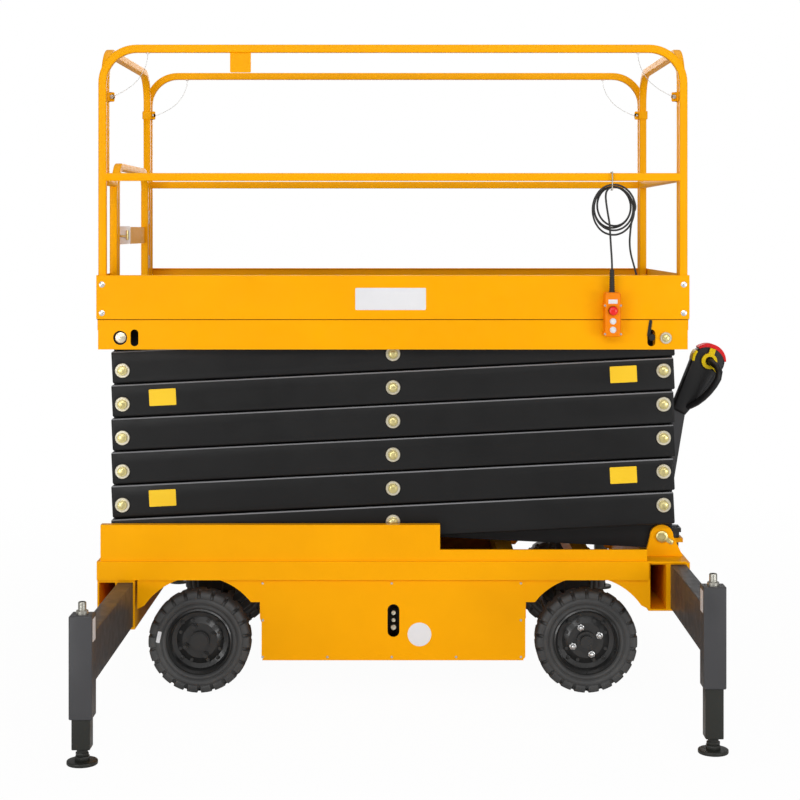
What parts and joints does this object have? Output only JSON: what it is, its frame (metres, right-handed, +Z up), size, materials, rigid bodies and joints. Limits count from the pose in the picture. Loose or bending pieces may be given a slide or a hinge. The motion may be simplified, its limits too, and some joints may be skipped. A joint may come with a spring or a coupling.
{
  "type": "towable scissor lift",
  "caption": "Towable scissor lift: railed platform on a stack of crossed arms over a wheeled chassis with pull-out outriggers, steering tiller and hand pendant.",
  "frame": {"origin": "floor level, at the middle of the whole footprint with outriggers and tiller", "axes": "+X along the machine towards the tiller, +Y across to the left side, +Z up"},
  "size_m": [2.3391, 2.84, 2.299],
  "materials": {
    "yellow_paint": "gloss",
    "dark_unit": "satin",
    "black_paint": "satin",
    "rubber": "matte",
    "black_plastic": "satin",
    "yellow_plastic": "gloss",
    "rod_chrome": "polished",
    "deck_plate": "tread plate",
    "orange_plastic": "satin",
    "red_plastic": "gloss",
    "zinc": "zinc plated",
    "black_cable": "satin",
    "grey_paint": "satin"
  },
  "bodies": {
    "chassis": {"chassis_frame": "yellow_paint", "outrigger_sleeves": "yellow_paint", "cover_panels": "yellow_paint", "power_unit": "dark_unit", "rear_axle": "black_paint", "front_axle": "black_paint"},
    "knuckle_right": {"knuckle_right": "black_paint"},
    "knuckle_left": {"knuckle_left": "black_paint"},
    "tie_rod": {"tie_rod": "black_paint"},
    "drag_link": {"drag_link": "black_paint"},
    "tiller_column": {"tiller_column": "black_paint"},
    "tiller": {"tiller_shaft": "black_paint", "tiller_head": "black_plastic", "tiller_controls": "yellow_plastic", "tiller_cap": "red_plastic"},
    "wheel_front_right": {"tyre_front_right": "rubber", "rim_front_right": "black_paint"},
    "wheel_front_left": {"tyre_front_left": "rubber", "rim_front_left": "black_paint"},
    "wheel_rear_right": {"tyre_rear_right": "rubber", "rim_rear_right": "black_paint"},
    "wheel_rear_left": {"tyre_rear_left": "rubber", "rim_rear_left": "black_paint"},
    "inner_1": {"inner_arms_1": "black_paint"},
    "outer_1": {"outer_arms_1": "black_paint"},
    "inner_2": {"inner_arms_2": "black_paint"},
    "outer_2": {"outer_arms_2": "black_paint"},
    "inner_3": {"inner_arms_3": "black_paint"},
    "outer_3": {"outer_arms_3": "black_paint"},
    "inner_4": {"inner_arms_4": "black_paint"},
    "outer_4": {"outer_arms_4": "black_paint"},
    "inner_5": {"inner_arms_5": "black_paint"},
    "outer_5": {"outer_arms_5": "black_paint"},
    "inner_6": {"inner_arms_6": "black_paint"},
    "outer_6": {"outer_arms_6": "black_paint"},
    "barrels": {"cylinder_barrels": "black_paint"},
    "rods": {"cylinder_rods": "rod_chrome"},
    "platform": {"platform_frame": "yellow_paint", "platform_deck": "deck_plate", "toe_boards": "yellow_paint", "side_rail_right": "yellow_paint", "side_rail_left": "yellow_paint", "end_rail_front": "yellow_paint", "end_rail_rear": "yellow_paint", "rail_hardware": "zinc", "pin_lanyards": "zinc", "pendant_box": "orange_plastic", "pendant_buttons": "red_plastic", "pendant_cable": "black_cable", "pendant_coil": "black_cable", "cable_gland": "black_cable"},
    "gate": {"gate": "yellow_paint"},
    "outrigger_front_right": {"outrigger_front_right": "grey_paint"},
    "jack_front_right": {"jack_front_right": "grey_paint"},
    "outrigger_front_left": {"outrigger_front_left": "grey_paint"},
    "jack_front_left": {"jack_front_left": "grey_paint"},
    "outrigger_rear_right": {"outrigger_rear_right": "grey_paint"},
    "jack_rear_right": {"jack_rear_right": "grey_paint"},
    "outrigger_rear_left": {"outrigger_rear_left": "grey_paint"},
    "jack_rear_left": {"jack_rear_left": "grey_paint"}
  },
  "joints": [
    {"name": "lift", "type": "hinge", "parent": "chassis", "child": "inner_1", "pos_m": [0.85643, 0, 0.54], "axis": [0, 1, 0], "range_deg": [0, 50]},
    {"name": "cross_1", "type": "hinge", "parent": "inner_1", "child": "outer_1", "pos_m": [-0.10957, 0, 0.6], "axis": [0, 1, 0], "range_deg": [-100, 0]},
    {"name": "link_2", "type": "hinge", "parent": "inner_1", "child": "outer_2", "pos_m": [-1.07557, 0, 0.66], "axis": [0, 1, 0], "range_deg": [-100, 0]},
    {"name": "cross_2", "type": "hinge", "parent": "outer_2", "child": "inner_2", "pos_m": [-0.10957, 0, 0.72], "axis": [0, 1, 0], "range_deg": [0, 100]},
    {"name": "link_3", "type": "hinge", "parent": "inner_2", "child": "outer_3", "pos_m": [-1.07557, 0, 0.78], "axis": [0, 1, 0], "range_deg": [-100, 0]},
    {"name": "cross_3", "type": "hinge", "parent": "outer_3", "child": "inner_3", "pos_m": [-0.10957, 0, 0.84], "axis": [0, 1, 0], "range_deg": [0, 100]},
    {"name": "link_4", "type": "hinge", "parent": "inner_3", "child": "outer_4", "pos_m": [-1.07557, 0, 0.9], "axis": [0, 1, 0], "range_deg": [-100, 0]},
    {"name": "cross_4", "type": "hinge", "parent": "outer_4", "child": "inner_4", "pos_m": [-0.10957, 0, 0.96], "axis": [0, 1, 0], "range_deg": [0, 100]},
    {"name": "link_5", "type": "hinge", "parent": "inner_4", "child": "outer_5", "pos_m": [-1.07557, 0, 1.02], "axis": [0, 1, 0], "range_deg": [-100, 0]},
    {"name": "cross_5", "type": "hinge", "parent": "outer_5", "child": "inner_5", "pos_m": [-0.10957, 0, 1.08], "axis": [0, 1, 0], "range_deg": [0, 100]},
    {"name": "link_6", "type": "hinge", "parent": "inner_5", "child": "outer_6", "pos_m": [-1.07557, 0, 1.14], "axis": [0, 1, 0], "range_deg": [-100, 0]},
    {"name": "cross_6", "type": "hinge", "parent": "outer_6", "child": "inner_6", "pos_m": [-0.10957, 0, 1.2], "axis": [0, 1, 0], "range_deg": [0, 100]},
    {"name": "platform_level", "type": "hinge", "parent": "outer_6", "child": "platform", "pos_m": [0.85643, 0, 1.26], "axis": [0, 1, 0], "range_deg": [0, 50]},
    {"name": "barrel_tilt", "type": "hinge", "parent": "inner_1", "child": "barrels", "pos_m": [-0.44464, 0, 0.64386], "axis": [0, 1, 0], "range_deg": [-117.36, 0]},
    {"name": "rod_stroke", "type": "slide", "parent": "barrels", "child": "rods", "axis": [0.9992, 0, 0.0397], "range_m": [0, 0.36729]},
    {"name": "gate_swing", "type": "hinge", "parent": "platform", "child": "gate", "pos_m": [-1.13957, 0.476, 1.331], "axis": [0, 0, 1], "range_deg": [0, 90]},
    {"name": "steer", "type": "hinge", "parent": "chassis", "child": "tiller_column", "pos_m": [0.96843, 0, 0.3], "axis": [0, 0, 1], "range_deg": [-30, 30]},
    {"name": "tiller_tilt", "type": "hinge", "parent": "tiller_column", "child": "tiller", "pos_m": [0.92243, 0, 0.53], "axis": [0, 1, 0], "range_deg": [0, 70], "stiffness_Nm_per_rad": 40, "springref_deg": -45.84},
    {"name": "kingpin_right", "type": "hinge", "parent": "chassis", "child": "knuckle_right", "pos_m": [0.57743, -0.42, 0.181], "axis": [0, 0, 1], "range_deg": [-30, 30]},
    {"name": "kingpin_left", "type": "hinge", "parent": "chassis", "child": "knuckle_left", "pos_m": [0.57743, 0.42, 0.181], "axis": [0, 0, 1], "range_deg": [-30, 30]},
    {"name": "tie_rod_pin", "type": "hinge", "parent": "knuckle_right", "child": "tie_rod", "pos_m": [0.45243, -0.42, 0.238], "axis": [0, 0, 1], "range_deg": [-30, 30]},
    {"name": "drag_link_pin", "type": "hinge", "parent": "tiller_column", "child": "drag_link", "pos_m": [0.96843, -0.102, 0.269], "axis": [0, 0, 1], "range_deg": [-30, 30]},
    {"name": "roll_front_right", "type": "hinge", "parent": "knuckle_right", "child": "wheel_front_right", "pos_m": [0.57743, -0.519, 0.181], "axis": [0, 1, 0], "continuous": true},
    {"name": "roll_rear_right", "type": "hinge", "parent": "chassis", "child": "wheel_rear_right", "pos_m": [-0.79657, -0.519, 0.181], "axis": [0, 1, 0], "continuous": true},
    {"name": "roll_front_left", "type": "hinge", "parent": "knuckle_left", "child": "wheel_front_left", "pos_m": [0.57743, 0.519, 0.181], "axis": [0, 1, 0], "continuous": true},
    {"name": "roll_rear_left", "type": "hinge", "parent": "chassis", "child": "wheel_rear_left", "pos_m": [-0.79657, 0.519, 0.181], "axis": [0, 1, 0], "continuous": true},
    {"name": "extend_front_right", "type": "slide", "parent": "chassis", "child": "outrigger_front_right", "axis": [0, 1, 0], "range_m": [0, 0.6]},
    {"name": "jack_front_right", "type": "slide", "parent": "outrigger_front_right", "child": "jack_front_right", "axis": [0, 0, 1], "range_m": [-0.08, 0.15]},
    {"name": "extend_front_left", "type": "slide", "parent": "chassis", "child": "outrigger_front_left", "axis": [0, -1, 0], "range_m": [0, 0.6]},
    {"name": "jack_front_left", "type": "slide", "parent": "outrigger_front_left", "child": "jack_front_left", "axis": [0, 0, 1], "range_m": [-0.08, 0.15]},
    {"name": "extend_rear_right", "type": "slide", "parent": "chassis", "child": "outrigger_rear_right", "axis": [0, 1, 0], "range_m": [0, 0.6]},
    {"name": "jack_rear_right", "type": "slide", "parent": "outrigger_rear_right", "child": "jack_rear_right", "axis": [0, 0, 1], "range_m": [-0.08, 0.09]},
    {"name": "extend_rear_left", "type": "slide", "parent": "chassis", "child": "outrigger_rear_left", "axis": [0, -1, 0], "range_m": [0, 0.6]},
    {"name": "jack_rear_left", "type": "slide", "parent": "outrigger_rear_left", "child": "jack_rear_left", "axis": [0, 0, 1], "range_m": [-0.08, 0.09]}
  ],
  "couplings": [
    {"joint": "cross_1", "follows": "lift", "ratio": -2},
    {"joint": "link_2", "follows": "lift", "ratio": -2},
    {"joint": "cross_2", "follows": "lift", "ratio": 2},
    {"joint": "link_3", "follows": "lift", "ratio": -2},
    {"joint": "cross_3", "follows": "lift", "ratio": 2},
    {"joint": "link_4", "follows": "lift", "ratio": -2},
    {"joint": "cross_4", "follows": "lift", "ratio": 2},
    {"joint": "link_5", "follows": "lift", "ratio": -2},
    {"joint": "cross_5", "follows": "lift", "ratio": 2},
    {"joint": "link_6", "follows": "lift", "ratio": -2},
    {"joint": "cross_6", "follows": "lift", "ratio": 2},
    {"joint": "platform_level", "follows": "lift", "ratio": 1},
    {"joint": "barrel_tilt", "follows": "lift", "ratio": -2.3471},
    {"joint": "rod_stroke", "follows": "lift", "m_per_rad": 0.42087},
    {"joint": "kingpin_right", "follows": "steer", "ratio": 1},
    {"joint": "kingpin_left", "follows": "steer", "ratio": 1},
    {"joint": "tie_rod_pin", "follows": "steer", "ratio": -1},
    {"joint": "drag_link_pin", "follows": "steer", "ratio": -1}
  ]
}
